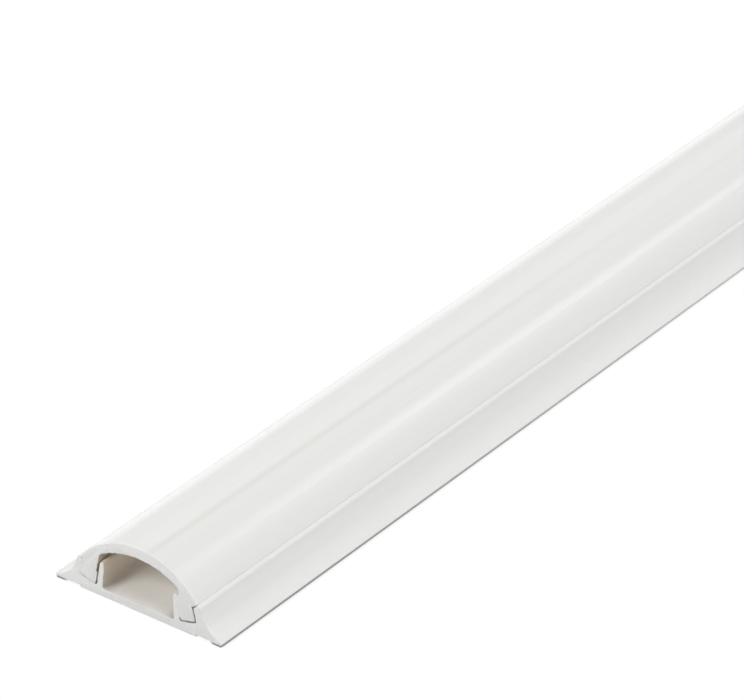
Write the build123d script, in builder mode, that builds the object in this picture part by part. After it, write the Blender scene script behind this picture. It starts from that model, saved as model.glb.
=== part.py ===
from build123d import *
import os
from math import sqrt

# Two-piece cable raceway in rigid PVC. The base lies on the floor: a plate with two ribs that wall
# the cable channel, and a sloping wing along each side. The arched cover has two legs that click
# into the grooves between the ribs and the wings, and it slides along them.
# X runs along the length, Z is up, and the origin is on the floor under the middle of the base.
# All sizes are in millimetres.

# Length as sold, and the crown of the cover above the floor
length = 1000.0
height = 14.1

# Plate of the base and the cable channel on it
plate_thickness = 1.9
channel_width = 17.0

# Ribs: thickness at root and tip, how far they lean in, and the room left under the cover
rib_root = 1.55
rib_tip = 1.0
rib_lean = 0.25
rib_headroom = 1.8

# Grooves for the legs: width, floor above the plate, and rise of the floor towards the wing
groove_width = 3.8
groove_step = 0.2
groove_rise = 1.0

# Hook along the inside of each wing: how far its nose leans in over the groove, and the slope
# that runs from the nose up and out to the seam
hook_undercut = 0.85
hook_slope_run = 0.95
hook_slope_rise = 1.05

# Wings: height of the seam, the land beside it, the start of the flank and its spread to the tip,
# which leans back under the flank
seam_height = 7.15
land_width = 0.8
land_fall = 0.3
flank_lean = 0.13
flank_start = 0.6
flank_spread = 5.4
tip_thickness = 0.9
tip_undercut = 0.45

# Underside of the wings: foot at the tip and the hollow between foot and middle pad
foot_width = 2.8
hollow_width = 3.6
hollow_depth = 0.5
hollow_slant = 0.4

# Cover: wall at the crown
cover_wall = 2.25

# Play between the cover and the base: at the ribs, under the hooks, at the seams and under the legs
rib_play = 0.35
wing_play = 0.33
seam_play = 0.05
seat_play = 0.25

# Rounded corners
root_round = 0.3
nose_round = 0.35
seam_round = 0.2
land_round = 0.5
tip_round = 0.35
hollow_round = 0.15
notch_round = 0.35
barb_round = 0.4
heel_round = 0.3
ceiling_round = 0.6
edge_round = 0.3
rib_tip_round = 0.42 * rib_tip

# Half section of the base, outwards from the middle
rib_inside = channel_width / 2
rib_outside = rib_inside + rib_root
groove_outside = rib_outside + groove_width
nose = groove_outside - hook_undercut
seam = nose + hook_slope_run
land_edge = seam + land_width
half_width = land_edge + flank_spread
foot_edge = half_width - foot_width
pad_edge = foot_edge - hollow_width

# The outside of the cover is an arch from seam to seam, flush with the wings
arch_rise = height - seam_height
arch_radius = (seam**2 + arch_rise**2) / (2 * arch_rise)


def arch_height(y, drop):
    """Height of the cover's arch at y, lowered by drop."""
    return height - drop - arch_radius + sqrt(arch_radius**2 - y**2)


def groove_floor(y):
    """Height of the groove's floor at y."""
    return plate_thickness + groove_step + groove_rise * (y - rib_outside) / groove_width


def corner_pair(section, corner):
    """The section's vertices at a corner of its half section and at that corner's mirror image."""
    y, z = corner
    return [section.vertices().sort_by_distance((side * y, z))[0] for side in (-1, 1)]


# Corners of the base's half section as (y, z), over the top from the middle to the flank
rib_top_inside = rib_inside - rib_lean
rib_top_outside = rib_top_inside + rib_tip
rib_top = arch_height(rib_top_inside + rib_tip / 2, cover_wall) - rib_headroom
nose_height = seam_height - hook_slope_rise
land_edge_height = seam_height - land_fall
base_upper_side = [
    (0, plate_thickness),
    (rib_inside, plate_thickness),
    (rib_top_inside, rib_top),
    (rib_top_outside, rib_top),
    (rib_outside, groove_floor(rib_outside)),
    (groove_outside, groove_floor(groove_outside)),
    (nose, nose_height),
    (seam, seam_height),
    (land_edge, land_edge_height),
    (land_edge + flank_lean, land_edge_height - flank_start),
]
base_upper_rounds = [
    root_round,
    rib_tip_round,
    rib_tip_round,
    root_round,
    root_round,
    nose_round,
    seam_round,
    land_round,
]

# Corners of the underside, from the tip back to the middle. Those on the floor stay bare, because
# the part stands on them.
wing_tip = (half_width, tip_thickness)
hollow_corners = [(foot_edge - hollow_slant, hollow_depth), (pad_edge + hollow_slant, hollow_depth)]
base_underside = [
    wing_tip,
    (half_width - tip_undercut, 0),
    (foot_edge, 0),
    *hollow_corners,
    (pad_edge, 0),
    (0, 0),
]

with BuildPart() as base:
    with BuildSketch(Plane.YZ) as base_section:
        with BuildLine():
            FilletPolyline(*base_upper_side, radius=base_upper_rounds)
            TangentArc(base_upper_side[-1], wing_tip, tangent=(flank_lean, -flank_start))
            Polyline(*base_underside)
            mirror(about=Plane.YZ)
        make_face()
        fillet(corner_pair(base_section, wing_tip), radius=tip_round)
        for corner in hollow_corners:
            fillet(corner_pair(base_section, corner), radius=hollow_round)
    extrude(amount=length / 2, both=True)
base.part.label = "base"

# Corners of the cover's leg as (y, z): the edge at the seam, the notch that clears the hook's nose,
# the barb under the hook, and the heel beside the rib's root
cover_edge = (seam - seam_play, arch_height(seam - seam_play, 0))
notch = (nose - wing_play, nose_height)
barb = (groove_outside - wing_play, groove_floor(groove_outside - wing_play) + seat_play)
heel = (rib_outside + rib_play, groove_floor(rib_outside + rib_play) + seat_play)
leg_lean = (rib_top_outside - rib_outside, rib_top - groove_floor(rib_outside))

with BuildPart() as cover:
    with BuildSketch(Plane.YZ) as cover_section:
        with BuildLine():
            ceiling_centre = (0, height - cover_wall - arch_radius)
            ceiling = CenterArc(ceiling_centre, arch_radius, 0, 180, mode=Mode.PRIVATE)
            leg_inside = IntersectingLine(heel, leg_lean, ceiling, mode=Mode.PRIVATE)
            leg_top = ((leg_inside @ 1).X, (leg_inside @ 1).Y)
            leg = FilletPolyline(
                cover_edge, notch, barb, heel, leg_top, radius=[notch_round, barb_round, heel_round]
            )
            mirror(leg, about=Plane.YZ)
            ThreePointArc((-cover_edge[0], cover_edge[1]), (0, height), cover_edge)
            ThreePointArc((-leg_top[0], leg_top[1]), (0, height - cover_wall), leg_top)
        make_face()
        fillet(corner_pair(cover_section, leg_top), radius=ceiling_round)
        fillet(corner_pair(cover_section, cover_edge), radius=edge_round)
    extrude(amount=length / 2, both=True)
cover.part.label = "cover"

os.makedirs("parts", exist_ok=True)
export_step(base.part, "parts/base.step")
export_step(cover.part, "parts/cover.step")
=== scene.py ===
from math import asin, cos, radians, sin, sqrt, tan

import bmesh
import bpy
from mathutils import Matrix, Vector, noise
from mathutils.bvhtree import BVHTree
from mathutils.geometry import intersect_line_sphere_2d


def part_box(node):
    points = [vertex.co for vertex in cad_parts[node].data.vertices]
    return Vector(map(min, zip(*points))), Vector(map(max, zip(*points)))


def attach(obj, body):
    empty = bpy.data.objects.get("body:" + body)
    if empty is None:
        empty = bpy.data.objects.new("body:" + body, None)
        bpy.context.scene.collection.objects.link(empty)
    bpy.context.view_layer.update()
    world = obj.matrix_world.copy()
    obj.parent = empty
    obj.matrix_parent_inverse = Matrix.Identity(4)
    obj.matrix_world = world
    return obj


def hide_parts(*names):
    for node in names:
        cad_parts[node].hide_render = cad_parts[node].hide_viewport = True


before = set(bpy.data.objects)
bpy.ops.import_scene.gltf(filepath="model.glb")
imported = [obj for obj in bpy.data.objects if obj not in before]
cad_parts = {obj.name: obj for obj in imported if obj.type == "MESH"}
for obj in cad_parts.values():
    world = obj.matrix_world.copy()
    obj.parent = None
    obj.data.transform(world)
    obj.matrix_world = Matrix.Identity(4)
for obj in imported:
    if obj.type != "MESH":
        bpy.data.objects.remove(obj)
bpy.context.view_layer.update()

# Two-piece cable raceway in white rigid PVC, seen from its sawn near end. Sizes are in millimetres
# and become metres where a mesh or a material takes them.
MM = 0.001

# Ends of the length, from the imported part, and the crown above the floor
near_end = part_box("base")[0].x / MM
far_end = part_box("base")[1].x / MM
height = 14.1

# Plate and ribs of the base
plate_thickness = 1.9
channel_width = 17.0
rib_root = 1.55
rib_tip = 1.0
rib_lean = 0.25
rib_headroom = 1.8

# Grooves for the cover's legs, and the hooks that hold them
groove_width = 3.8
groove_step = 0.2
groove_rise = 1.0
hook_undercut = 0.85
hook_slope_run = 0.95
hook_slope_rise = 1.05

# Wings
seam_height = 7.15
land_width = 0.8
land_fall = 0.3
flank_lean = 0.13
flank_start = 0.6
flank_spread = 5.4
tip_thickness = 0.9
tip_undercut = 0.45
foot_width = 2.8
hollow_width = 3.6
hollow_depth = 0.5
hollow_slant = 0.4

# Cover, and its play in the base. At the seams it bears on the wings, so they close to a fine line,
# and its legs lie over to +Y in their play.
cover_wall = 2.25
rib_play = 0.35
wing_play = 0.33
seam_play = -0.07
seat_play = 0.25
leg_lie = 0.17

# Rounded corners
root_round = 0.3
nose_round = 0.35
seam_round = 0.2
land_round = 0.5
tip_round = 0.35
hollow_round = 0.15
notch_round = 0.35
barb_round = 0.4
heel_round = 0.3
ceiling_round = 1.0
edge_round = 0.3
rib_tip_round = 0.42 * rib_tip

# Edges in each rounded corner, in the hollow flank and in half the arch, and their pitch elsewhere
ROUND_STEPS = 6
FLANK_STEPS = 24
ARCH_STEPS = 40
OUTLINE_PITCH = 0.2

# Sawn ends: how far the faces stand back from the ends, the depth of the rough rim, how far it is
# pulled in, and its worn edge
saw_setback = 0.1
rim_depth = 1.0
rim_pull = 0.12
rim_round = 0.08

# Nicks in the rims: their size, how far they lie inwards, how much deeper they are in the channel,
# and the size of the rougher patches and the least share of a nick between them
nick_size = 0.45
nick_inwards = 0.4
scallop = 1.8
patch_size = 2.7
patch_least = 0.6

# Where the saw smeared the cover's plastic into its gaps: low and high corner of a box of the section,
# and the share of the gap that is filled, which over 1 covers the base's edge. Smears stand proud.
cover_smears = [
    ((12.5, 3.4), (14.1, 7.0), 1.3),
    ((10.2, 2.0), (14.0, 3.4), 0.85),
    ((9.0, 2.4), (10.6, 5.2), 0.5),
    ((-10.7, 2.9), (-9.0, 8.6), 1.3),
    ((-14.1, 3.3), (-12.5, 6.0), 0.45),
    ((-13.9, 2.0), (-10.2, 3.3), 0.15),
]
smear_proud = 0.03

# Where it chipped the base, at the nose of the -Y hook: low and high corner
base_chips = [((-13.9, 5.6), (-12.3, 6.8))]

# Dull lines along the cover, left by scratches in the die: place across, width and strength
cover_marks = [(-2.25, 1.3, 0.3), (2.6, 0.8, 0.1)]

# Refraction of rigid PVC
PVC_IOR = 1.53

# Places across the half section, outwards from the middle
rib_inside = channel_width / 2
rib_outside = rib_inside + rib_root
groove_outside = rib_outside + groove_width
nose = groove_outside - hook_undercut
seam = nose + hook_slope_run
land_edge = seam + land_width
half_width = land_edge + flank_spread
foot_edge = half_width - foot_width
pad_edge = foot_edge - hollow_width
rib_top_inside = rib_inside - rib_lean
rib_top_outside = rib_top_inside + rib_tip

# The outside of the cover is an arch from seam to seam
arch_rise = height - seam_height
arch_radius = (seam**2 + arch_rise**2) / (2 * arch_rise)
arch_centre = Vector((0, height - arch_radius))
ceiling_centre = arch_centre - Vector((0, cover_wall))


def arch_height(y, drop):
    """Height of the cover's arch at y, lowered by drop."""
    return arch_centre.y - drop + sqrt(arch_radius**2 - y**2)


def groove_floor(y):
    """Height of the groove's floor at y."""
    return plate_thickness + groove_step + groove_rise * (y - rib_outside) / groove_width


rib_top = arch_height(rib_top_inside + rib_tip / 2, cover_wall) - rib_headroom


def section_point(point):
    """A point (y, z) of the near end's section as a place in the frame."""
    return Vector((near_end, point[0], point[1])) * MM


def run_edges(bm, start, points):
    """Adds edges from vertex start through section points, and returns the new vertices."""
    made = []
    for point in points:
        vert = bm.verts.new(section_point(point))
        bm.edges.new((start, vert))
        made.append(vert)
        start = vert
    return made


def run_arc(bm, start, centre, angle, steps):
    """Spins vertex start about a point of the section, and returns the arc's last vertex."""
    arc = bmesh.ops.spin(
        bm, geom=[start], cent=section_point(centre), axis=(1, 0, 0), angle=angle, steps=steps
    )
    return next(item for item in arc["geom_last"] if isinstance(item, bmesh.types.BMVert))


def round_corner(bm, vert, radius):
    """Rounds a corner of a flat section."""
    one, other = (edge.other_vert(vert).co - vert.co for edge in vert.link_edges)
    bmesh.ops.bevel(
        bm,
        geom=[vert],
        offset=radius * MM / tan(one.angle(other) / 2),
        offset_type="OFFSET",
        segments=ROUND_STEPS,
        profile=0.5,
        affect="VERTICES",
        material=-1,
    )


def mirror_half(bm):
    """Adds the other half of a half section and joins the two at the middle."""
    bmesh.ops.mirror(bm, geom=bm.verts[:] + bm.edges[:] + bm.faces[:], axis="Y", merge_dist=1e-7)
    middle = [edge for edge in bm.edges if all(abs(vert.co.y) < 1e-7 for vert in edge.verts)]
    bmesh.ops.dissolve_edges(bm, edges=middle)


def base_section():
    """The section of the base: plate, ribs, grooves, hooks, wings and feet."""
    bm = bmesh.new()
    middle = bm.verts.new(section_point((0, plate_thickness)))
    land_height = seam_height - land_fall
    flank_top = Vector((land_edge + flank_lean, land_height - flank_start))
    upper = run_edges(
        bm,
        middle,
        [
            (rib_inside, plate_thickness),
            (rib_top_inside, rib_top),
            (rib_top_outside, rib_top),
            (rib_outside, groove_floor(rib_outside)),
            (groove_outside, groove_floor(groove_outside)),
            (nose, seam_height - hook_slope_rise),
            (seam, seam_height),
            (land_edge, land_height),
            flank_top,
        ],
    )
    upper_rounds = [
        root_round,
        rib_tip_round,
        rib_tip_round,
        root_round,
        root_round,
        nose_round,
        seam_round,
        land_round,
    ]

    # The hollow flank carries on from the land's outer edge and ends at the tip
    across = Vector((half_width, tip_thickness)) - flank_top
    towards_centre = Vector((flank_start, flank_lean)).normalized()
    flank_radius = across.length_squared / (2 * across.dot(towards_centre))
    flank_angle = 2 * asin(across.length / (2 * flank_radius))
    flank_centre = flank_top + towards_centre * flank_radius
    tip = run_arc(bm, upper[-1], flank_centre, flank_angle, FLANK_STEPS)

    under = run_edges(
        bm,
        tip,
        [
            (half_width - tip_undercut, 0),
            (foot_edge, 0),
            (foot_edge - hollow_slant, hollow_depth),
            (pad_edge + hollow_slant, hollow_depth),
            (pad_edge, 0),
            (0, 0),
        ],
    )
    bm.edges.new((under[-1], middle))
    bmesh.ops.contextual_create(bm, geom=bm.edges[:])
    corners = upper[:-1] + [tip] + under[2:4]
    for vert, radius in zip(corners, upper_rounds + [tip_round] + [hollow_round] * 2):
        round_corner(bm, vert, radius)
    mirror_half(bm)
    return bm


def cover_section():
    """The section of the cover: an arch and two barbed legs."""
    bm = bmesh.new()
    crown = bm.verts.new(section_point((0, height)))
    edge_angle = asin((seam - seam_play) / arch_radius)
    edge = run_arc(bm, crown, arch_centre, -edge_angle, ARCH_STEPS)

    barb_place = groove_outside - wing_play
    heel_place = rib_outside + rib_play
    heel = Vector((heel_place, groove_floor(heel_place) + seat_play))
    leg_lean = Vector((rib_top_outside - rib_outside, rib_top - groove_floor(rib_outside)))
    crossings = intersect_line_sphere_2d(heel, heel + leg_lean * 2, ceiling_centre, arch_radius)
    leg_top = max((point for point in crossings if point), key=lambda point: point.y)
    leg = run_edges(
        bm,
        edge,
        [
            (nose - wing_play, seam_height - hook_slope_rise),
            (barb_place, groove_floor(barb_place) + seat_play),
            heel,
            leg_top,
        ],
    )
    ceiling_angle = asin(leg_top.x / arch_radius)
    under_crown = run_arc(bm, leg[-1], ceiling_centre, ceiling_angle, ARCH_STEPS)
    bm.edges.new((under_crown, crown))
    bmesh.ops.contextual_create(bm, geom=bm.edges[:])
    rounds = [edge_round, notch_round, barb_round, heel_round, ceiling_round]
    for vert, radius in zip([edge] + leg, rounds):
        round_corner(bm, vert, radius)
    mirror_half(bm)

    # The lie comes in below the seams and is full from half the legs' depth on
    for vert in bm.verts:
        below_seam = (seam_height - vert.co.z / MM) / (seam_height - plate_thickness)
        vert.co.y += leg_lie * MM * min(max(2 * below_seam, 0), 1)
    return bm


def draw_out(bm):
    """Draws a section out to the length, with a short stretch at each end for the sawn rim."""
    for edge in bm.edges[:]:
        cuts = int(edge.calc_length() / (OUTLINE_PITCH * MM))
        if cuts:
            bmesh.ops.subdivide_edges(bm, edges=[edge], cuts=cuts)
    bmesh.ops.translate(bm, verts=bm.verts[:], vec=(saw_setback * MM, 0, 0))
    drawn = bmesh.ops.extrude_face_region(bm, geom=bm.faces[:])
    moved = [item for item in drawn["geom"] if isinstance(item, bmesh.types.BMVert)]
    length = far_end - near_end - 2 * saw_setback
    bmesh.ops.translate(bm, verts=moved, vec=(length * MM, 0, 0))
    for rim in (near_end + rim_depth, far_end - rim_depth):
        bmesh.ops.bisect_plane(
            bm,
            geom=bm.verts[:] + bm.edges[:] + bm.faces[:],
            plane_co=(rim * MM, 0, 0),
            plane_no=(1, 0, 0),
        )
    bmesh.ops.recalc_face_normals(bm, faces=bm.faces[:])


def in_box(place, low, high):
    """True where a place lies in a box of the section, given by its low and its high corner."""
    return low[0] < place.y < high[0] and low[1] < place.z < high[1]


def saw_ends(bm, in_channel, smears=(), neighbour=None, chips=()):
    """Roughens the sawn rims and wears their edges.

    In the channel the rims are scalloped. Elsewhere they only lie inwards. The smears fill the gaps
    to a neighbour, which is a tree of its faces.
    """
    ends = {face for face in bm.faces if abs(face.normal.x) > 0.9}
    moves = []
    for vert in bm.verts:
        if ends.isdisjoint(vert.link_faces):
            continue
        place = vert.co / MM
        sides = [face.normal for face in vert.link_faces if abs(face.normal.x) < 0.1]
        outward = sum(sides, Vector()).normalized()
        patch = noise.noise(place / patch_size)
        nick = noise.noise(place / nick_size)
        pull = rim_pull * (nick - nick_inwards) * (patch_least + max(patch, 0.0))
        pull = pull * scallop if in_channel(place) else min(pull, 0.0)
        proud = 0.0
        for low, high, share in smears:
            if in_box(place, low, high):
                # The gap is measured behind the rim
                inside = vert.co.lerp(Vector((0, *vert.co.yz)), rim_depth / (far_end - near_end))
                gap = neighbour.ray_cast(inside, outward, MM)[3]
                if gap:
                    pull = share * gap / MM
                    proud = smear_proud if place.x > 0 else -smear_proud
        if any(in_box(place, low, high) for low, high in chips):
            pull = -rim_pull * (1 + nick)
        moves.append((vert, (outward * pull + Vector((proud, 0, 0))) * MM))
    for vert, move in moves:
        vert.co += move
    rims = [edge for edge in bm.edges if not ends.isdisjoint(edge.link_faces)]
    bmesh.ops.bevel(
        bm,
        geom=rims,
        offset=rim_round * MM,
        offset_type="OFFSET",
        segments=2,
        profile=0.5,
        affect="EDGES",
        material=-1,
    )

    # Rounding a jagged rim can overshoot, so nothing is left under the floor or over the crown
    for vert in bm.verts:
        vert.co.z = min(max(vert.co.z, 0.0), height * MM)


def finish_faces(bm, in_channel):
    """Gives each face its finish: 0 drawn, 1 inside the channel, 2 sawn."""
    bm.normal_update()
    for face in bm.faces:
        face.smooth = abs(face.normal.x) < 0.98
        middle = face.calc_center_median() / MM
        if abs(face.normal.x) > 0.2:
            face.material_index = 2
        elif in_channel(middle):
            face.material_index = 1


def make_piece(bm, name, node, materials):
    """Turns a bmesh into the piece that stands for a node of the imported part."""
    mesh = bpy.data.meshes.new(name)
    bm.to_mesh(mesh)
    bm.free()
    mesh.set_sharp_from_angle(angle=radians(30))
    for material in materials:
        mesh.materials.append(material)
    piece = bpy.data.objects.new(name, mesh)
    bpy.context.scene.collection.objects.link(piece)
    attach(piece, node)
    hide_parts(node)


def hex_colour(code):
    """Linear colour of an sRGB hex value."""
    channels = [int(code[place : place + 2], 16) / 255 for place in (1, 3, 5)]
    return [c / 12.92 if c <= 0.04045 else ((c + 0.055) / 1.055) ** 2.4 for c in channels] + [1.0]


def add_node(tree, kind, inputs=None, **settings):
    """Adds a node with its settings; an input is a value, or an output to link from."""
    made = tree.nodes.new(kind)
    for name, value in settings.items():
        setattr(made, name, value)
    for name, value in (inputs or {}).items():
        if isinstance(value, bpy.types.NodeSocket):
            tree.links.new(value, made.inputs[name])
        else:
            made.inputs[name].default_value = value
    return made


def new_tree(name):
    """A new material and its empty node tree."""
    material = bpy.data.materials.new(name)
    material.use_nodes = True
    material.node_tree.nodes.clear()
    return material, material.node_tree


def object_places(tree):
    """The place on the object, its X, Y and Z, and the distance outwards from the middle."""
    place = add_node(tree, "ShaderNodeTexCoord").outputs["Object"]
    spot = add_node(tree, "ShaderNodeSeparateXYZ", {"Vector": place}).outputs
    outwards = add_node(tree, "ShaderNodeMath", {0: spot["Y"]}, operation="ABSOLUTE").outputs["Value"]
    return place, spot, outwards


def die_lines(tree, place, spacing, run, detail):
    """Noise drawn out along the length, as a die leaves it: spacing across and run along, in mm."""
    drawn = add_node(
        tree,
        "ShaderNodeMapping",
        {"Vector": place, "Scale": (1 / (run * MM), 1 / (spacing * MM), 1 / (spacing * MM))},
    )
    return add_node(
        tree,
        "ShaderNodeTexNoise",
        {"Vector": drawn.outputs["Vector"], "Scale": 1.0, "Detail": detail},
    ).outputs["Fac"]


def soft_mask(tree, amount, ramps):
    """An amount times soft ramps: each has an output, two places of it in mm, and the values there."""
    for output, start, stop, first, last in ramps:
        ramp = add_node(
            tree,
            "ShaderNodeMapRange",
            {
                "Value": output,
                "From Min": start * MM,
                "From Max": stop * MM,
                "To Min": first,
                "To Max": last,
            },
            interpolation_type="SMOOTHSTEP",
        )
        amount = add_node(
            tree, "ShaderNodeMath", {0: ramp.outputs["Result"], 1: amount}, operation="MULTIPLY"
        ).outputs["Value"]
    return amount


def stain(tree, colour, amount, code):
    """A colour with an amount of another laid over it."""
    return add_node(
        tree,
        "ShaderNodeMix",
        {"Factor": amount, "A": colour, "B": hex_colour(code)},
        data_type="RGBA",
    ).outputs["Result"]


def pvc_surface(tree, inputs):
    """Makes a PVC shader with these inputs the surface of a material."""
    shader = add_node(tree, "ShaderNodeBsdfPrincipled", {"IOR": PVC_IOR, **inputs})
    add_node(tree, "ShaderNodeOutputMaterial", {"Surface": shader.outputs["BSDF"]})


def extruded_pvc(name, roughness, marks, shaded_tips):
    """Rigid PVC drawn through a polished die: white, satin to glossy, with faint lines along the length.

    The marks are dull lines. A piece with shaded tips has painted shade along the tips of its wings,
    where they meet the floor. Both fade from the near end on.
    """
    material, tree = new_tree(name)
    place, spot, outwards = object_places(tree)

    # The fine lines are as coarse as they need to be to show
    fine = die_lines(tree, place, 0.35, 400, 2.0)
    broad = die_lines(tree, place, 2.4, 700, 2.0)
    colour = stain(tree, hex_colour("#E5E5E3"), broad, "#EBEBE9")
    for centre, width, strength in marks:
        away = add_node(tree, "ShaderNodeMath", {0: spot["Y"], 1: centre * MM}, operation="SUBTRACT")
        away = add_node(tree, "ShaderNodeMath", {0: away.outputs["Value"]}, operation="ABSOLUTE")
        mark = [
            (away.outputs["Value"], 0, width, 1.0, 0.0),
            (spot["X"], near_end + 90, near_end + 180, 1.0, 0.3),
        ]
        colour = stain(tree, colour, soft_mask(tree, strength, mark), "#D3D0C4")
    # Painted shade along the wings' tips, where they meet the floor, most at the near end
    if shaded_tips:
        tip_shade = [
            (outwards, half_width - 1.3, half_width - 0.7, 0.0, 1.0),
            (spot["Z"], 0.45, tip_thickness + 0.1, 1.0, 0.0),
            (spot["X"], near_end, near_end + 220, 1.0, 0.4),
        ]
        colour = stain(tree, colour, soft_mask(tree, 0.9, tip_shade), "#5E5A54")
    rough = add_node(
        tree,
        "ShaderNodeMapRange",
        {"Value": fine, "To Min": roughness - 0.05, "To Max": roughness + 0.05},
    )
    bump = add_node(
        tree, "ShaderNodeBump", {"Height": fine, "Strength": 0.25, "Distance": 0.006 * MM}
    )
    surface = {
        "Base Color": colour,
        "Roughness": rough.outputs["Result"],
        "Normal": bump.outputs["Normal"],
    }
    pvc_surface(tree, surface)
    return material


def channel_pvc():
    """The same PVC inside: dull, with painted shade at the ends, and there a faint painted glow for light
    through the thin walls.
    """
    material, tree = new_tree("extruded_pvc_channel")
    place, spot, outwards = object_places(tree)
    along = add_node(tree, "ShaderNodeMath", {0: spot["X"]}, operation="ABSOLUTE").outputs["Value"]
    fine = die_lines(tree, place, 0.5, 250, 3.0)
    broad = die_lines(tree, place, 3.0, 500, 2.0)
    colour = stain(tree, hex_colour("#E3E2DF"), broad, "#E9E8E5")

    # Inside each end the walls get painted warm shade, apart from the -Y one. Darker painted shade lies
    # along the ribs and on the +Y leg's wall, and in the grooves.
    at_ends = (along, far_end - 50, far_end - 10, 0.0, 1.0)
    shaded_ends = (along, far_end - 28, far_end - 6, 0.0, 1.0)
    warm_shade_walls = [
        at_ends,
        (spot["Y"], -7, -4, 0.0, 1.0),
        (spot["Z"], plate_thickness, plate_thickness + 0.5, 0.0, 1.0),
    ]
    on_ribs = [
        shaded_ends,
        (outwards, rib_inside - 3, rib_inside - 0.3, 0.0, 1.0),
        (spot["Z"], plate_thickness, rib_top, 1.0, 0.5),
        (spot["Z"], rib_top + 0.1, rib_top + 0.3, 1.0, 0.0),
    ]
    in_grooves = [
        shaded_ends,
        (outwards, rib_inside + 0.3, rib_top_outside, 0.0, 1.0),
        (spot["Z"], rib_top - 1.5, rib_top, 1.0, 0.0),
    ]
    on_wall = [
        (along, far_end - 9, far_end - 4, 0.0, 1.0),
        (spot["Y"], 4, 7, 0.0, 1.0),
        (spot["Z"], rib_top, rib_top + 0.5, 0.0, 1.0),
    ]
    # Painted warm shade on the walls, and darker painted shade on the +Y leg's wall, the ribs and in the
    # grooves
    colour = stain(tree, colour, soft_mask(tree, 1.0, warm_shade_walls), "#E2D6C4")
    colour = stain(tree, colour, soft_mask(tree, 0.35, on_wall), "#8A7357")
    colour = stain(tree, colour, soft_mask(tree, 0.55, on_ribs), "#A59C8E")
    colour = stain(tree, colour, soft_mask(tree, 0.5, in_grooves), "#857866")

    # A painted glow stands in for light through the walls just inside the ends, most on the -Y side
    through_walls = [
        at_ends,
        (along, far_end - 9, far_end - 1, 1.0, 0.3),
        (spot["Y"], -1, 6, 1.0, 0.65),
    ]
    rough = add_node(tree, "ShaderNodeMapRange", {"Value": fine, "To Min": 0.42, "To Max": 0.58})
    bump = add_node(tree, "ShaderNodeBump", {"Height": fine, "Strength": 0.4, "Distance": 0.01 * MM})
    surface = {
        "Base Color": colour,
        "Roughness": rough.outputs["Result"],
        "Normal": bump.outputs["Normal"],
        "Emission Color": hex_colour("#FFF8EE"),
        "Emission Strength": soft_mask(tree, 0.085, through_walls),
    }
    pvc_surface(tree, surface)
    return material


def sawn_pvc():
    """PVC as a fine saw leaves it: matt, slightly grey, mottled and scratched, with painted shade low at
    the feet.
    """
    material, tree = new_tree("sawn_pvc")
    place, spot, outwards = object_places(tree)
    mottle = add_node(
        tree,
        "ShaderNodeTexNoise",
        {"Vector": place, "Scale": 1 / (0.6 * MM), "Detail": 4.0, "Roughness": 0.7},
    )
    turned = add_node(
        tree,
        "ShaderNodeMapping",
        {
            "Vector": place,
            "Rotation": (radians(12), 0, 0),
            "Scale": (1 / (0.2 * MM), 1 / (0.18 * MM), 1 / (4 * MM)),
        },
    )
    scratches = add_node(
        tree, "ShaderNodeTexNoise", {"Vector": turned.outputs["Vector"], "Scale": 1.0, "Detail": 2.0}
    )
    colour = stain(tree, hex_colour("#D2D2D0"), mottle.outputs["Fac"], "#F0F0EE")
    # Painted shade low on the feet's sawn ends, where they meet the floor
    foot_shade = [
        (outwards, foot_edge, foot_edge + 0.6, 0.0, 1.0),
        (spot["Z"], 0.1, 0.65, 1.0, 0.0),
    ]
    colour = stain(tree, colour, soft_mask(tree, 0.9, foot_shade), "#574C40")
    bump = add_node(
        tree,
        "ShaderNodeBump",
        {"Height": scratches.outputs["Fac"], "Strength": 0.5, "Distance": 0.03 * MM},
    )
    pvc_surface(tree, {"Base Color": colour, "Roughness": 0.65, "Normal": bump.outputs["Normal"]})
    return material


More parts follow.
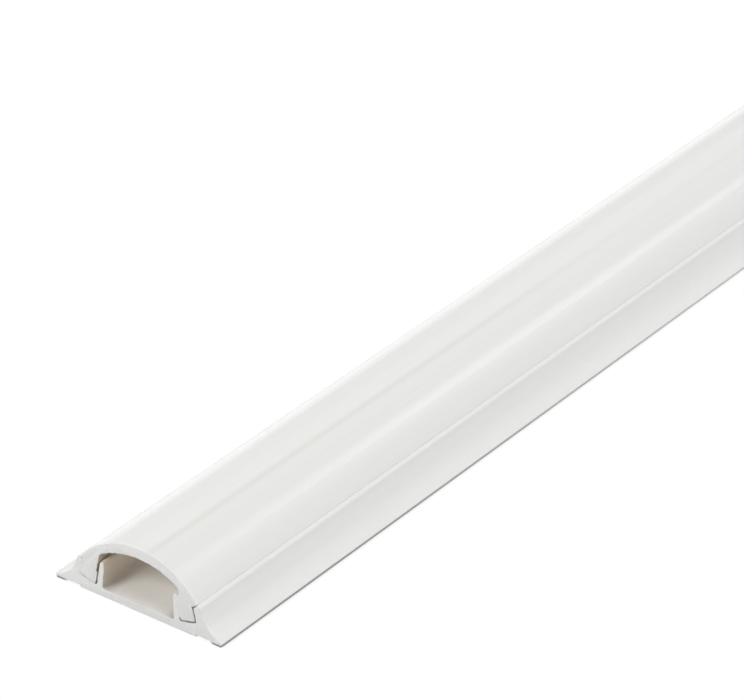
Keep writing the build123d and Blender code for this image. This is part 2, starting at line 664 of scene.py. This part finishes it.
def lay_floor():
    """A plain white floor that keeps a light shadow, with a painted contact shadow where the wings touch
    it.

    The eye and reflections see it as white. For other light it is pale paper.
    """
    material, tree = new_tree("studio_floor")
    path = add_node(tree, "ShaderNodeLightPath")
    seen = path.outputs["Is Camera Ray"]
    for kind in ("Is Glossy Ray", "Is Transmission Ray"):
        seen = add_node(
            tree, "ShaderNodeMath", {0: seen, 1: path.outputs[kind]}, operation="MAXIMUM"
        ).outputs["Value"]

    # The painted contact shadow is darkest at the near end, and it lies where the wings shut out the sky
    _, spot, outwards = object_places(tree)
    beside_wings = [
        (outwards, foot_edge, half_width - 1, 0.0, 1.0),
        (spot["X"], near_end + 60, near_end + 220, 1.0, 0.35),
    ]
    open_sky = add_node(tree, "ShaderNodeAmbientOcclusion", {"Distance": 1.5 * MM}, samples=8)
    under = add_node(
        tree,
        "ShaderNodeMapRange",
        {"Value": open_sky.outputs["AO"], "From Min": 0.1, "From Max": 0.5, "To Min": 1.0, "To Max": 0.0},
    )
    darkened = add_node(
        tree,
        "ShaderNodeMath",
        {0: under.outputs["Result"], 1: soft_mask(tree, 0.78, beside_wings)},
        operation="MULTIPLY",
    )

    # Most of the white glows, and shadows take from the rest
    full_white = 1.02
    shadowed = 0.2
    lit = add_node(
        tree,
        "ShaderNodeMath",
        {0: full_white - shadowed, 1: darkened.outputs["Value"]},
        operation="SUBTRACT",
    )
    glow = add_node(
        tree,
        "ShaderNodeEmission",
        {"Color": hex_colour("#FFFFFF"), "Strength": lit.outputs["Value"]},
    )
    paper = add_node(tree, "ShaderNodeBsdfDiffuse", {"Color": [shadowed] * 3 + [1.0]})
    white = add_node(tree, "ShaderNodeAddShader", {0: glow.outputs["Emission"], 1: paper.outputs["BSDF"]})
    bounce = add_node(tree, "ShaderNodeBsdfDiffuse", {"Color": hex_colour("#DADADA")})
    shown = add_node(
        tree,
        "ShaderNodeMixShader",
        {0: seen, 1: bounce.outputs["BSDF"], 2: white.outputs["Shader"]},
    )
    add_node(tree, "ShaderNodeOutputMaterial", {"Surface": shown.outputs["Shader"]})
    bm = bmesh.new()
    bmesh.ops.create_grid(bm, x_segments=1, y_segments=1, size=6.0)
    mesh = bpy.data.meshes.new("studio_floor")
    bm.to_mesh(mesh)
    bm.free()
    mesh.materials.append(material)
    floor = bpy.data.objects.new("studio_floor", mesh)
    bpy.context.scene.collection.objects.link(floor)


def light_studio():
    """A white tent with a dark gap low on its -X, -Y side, and four lamps."""
    world = bpy.data.worlds.new("studio")
    bpy.context.scene.world = world
    world.use_nodes = True
    tree = world.node_tree
    tree.nodes.clear()
    towards = add_node(tree, "ShaderNodeTexCoord").outputs["Generated"]

    # Panels of the tent: where each hangs, the cosines between which it fades in, and its strength
    panels = [
        ((0, 0, 1), 0.0, 1.0, 0.28),
        ((0, -1, 0), 0.0, 1.0, 0.58),
        ((-0.6, -0.79, 0.1), 0.6, 0.97, -0.47),
    ]
    strength = 0.3
    for direction, edge, full, gain in panels:
        facing = add_node(
            tree, "ShaderNodeVectorMath", {0: towards, 1: direction}, operation="DOT_PRODUCT"
        )
        panel = add_node(
            tree,
            "ShaderNodeMapRange",
            {"Value": facing.outputs["Value"], "From Min": edge, "From Max": full, "To Max": gain},
        )
        strength = add_node(
            tree, "ShaderNodeMath", {0: panel.outputs["Result"], 1: strength}, operation="ADD"
        ).outputs["Value"]
    sky = add_node(
        tree, "ShaderNodeBackground", {"Color": hex_colour("#FFFFFF"), "Strength": strength}
    )
    add_node(tree, "ShaderNodeOutputWorld", {"Surface": sky.outputs["Background"]})

    # Lamps: strength, degrees across, and the direction to each
    lamps = [
        ("gloss_lamp", 0.065, 10, Vector((0.698, -0.252, 0.67))),
        ("back_lamp", 1.3, 40, Vector((0, 0.97, 0.22))),
        ("front_lamp", 0.66, 40, Vector((0, -0.75, 0.66))),
        ("end_lamp", 1.22, 25, Vector((-0.72, 0.3, 0.63))),
    ]
    for name, energy, angle, direction in lamps:
        lamp = bpy.data.lights.new(name, "SUN")
        lamp.energy = energy
        lamp.angle = radians(angle)
        hung = bpy.data.objects.new(name, lamp)
        hung.rotation_euler = direction.to_track_quat("Z", "Y").to_euler()
        bpy.context.scene.collection.objects.link(hung)


def place_camera():
    """The photograph's view: a long lens, looking down on the near end and along the length."""
    image_width, image_height = 744, 700
    focal_pixels = 4597.5
    elevation, turn, roll = radians(30.066), radians(34.434), radians(2.162)
    end_pixel = Vector((137.6, 612.21))
    end_distance = 875.0

    forward = Vector((cos(turn) * cos(elevation), sin(turn) * cos(elevation), -sin(elevation)))
    right = forward.cross(Vector((0, 0, 1))).normalized()
    level = Matrix((right, right.cross(forward), -forward)).transposed()
    turned = level @ Matrix.Rotation(roll, 3, "Z")

    # The middle of the near end's lower edge is seen at its pixel
    offset = (end_pixel - Vector((image_width, image_height)) / 2) / focal_pixels
    ray = (turned @ Vector((offset.x, -offset.y, -1))).normalized()
    place = section_point((0, 0)) - ray * end_distance * MM

    lens = bpy.data.cameras.new("photograph")
    lens.sensor_width = 36.0
    lens.lens = focal_pixels / image_width * lens.sensor_width
    lens.clip_start = 0.05
    lens.clip_end = 50.0
    camera = bpy.data.objects.new("photograph", lens)
    camera.matrix_world = Matrix.Translation(place) @ turned.to_4x4()
    bpy.context.scene.collection.objects.link(camera)
    bpy.context.scene.camera = camera


def base_in_channel(middle):
    """True for the base's faces between the two seams."""
    return abs(middle.y) < seam - seam_round and middle.z > plate_thickness / 2


def cover_in_channel(middle):
    """True for the cover's faces under the arch."""
    return (middle.yz - arch_centre).length < arch_radius - edge_round


satin_pvc = extruded_pvc("extruded_pvc_satin", 0.4, [], shaded_tips=True)
polished_pvc = extruded_pvc("extruded_pvc_polished", 0.22, cover_marks, shaded_tips=False)
inside_pvc = channel_pvc()
end_pvc = sawn_pvc()

base_mesh = base_section()
draw_out(base_mesh)
base_tree = BVHTree.FromBMesh(base_mesh)
saw_ends(base_mesh, base_in_channel, chips=base_chips)
finish_faces(base_mesh, base_in_channel)
make_piece(base_mesh, "base_extrusion", "base", [satin_pvc, inside_pvc, end_pvc])

cover_mesh = cover_section()
draw_out(cover_mesh)
saw_ends(cover_mesh, cover_in_channel, cover_smears, base_tree)
finish_faces(cover_mesh, cover_in_channel)
make_piece(cover_mesh, "cover_extrusion", "cover", [polished_pvc, inside_pvc, end_pvc])

lay_floor()
light_studio()
place_camera()
bpy.context.scene.view_settings.view_transform = "Standard"
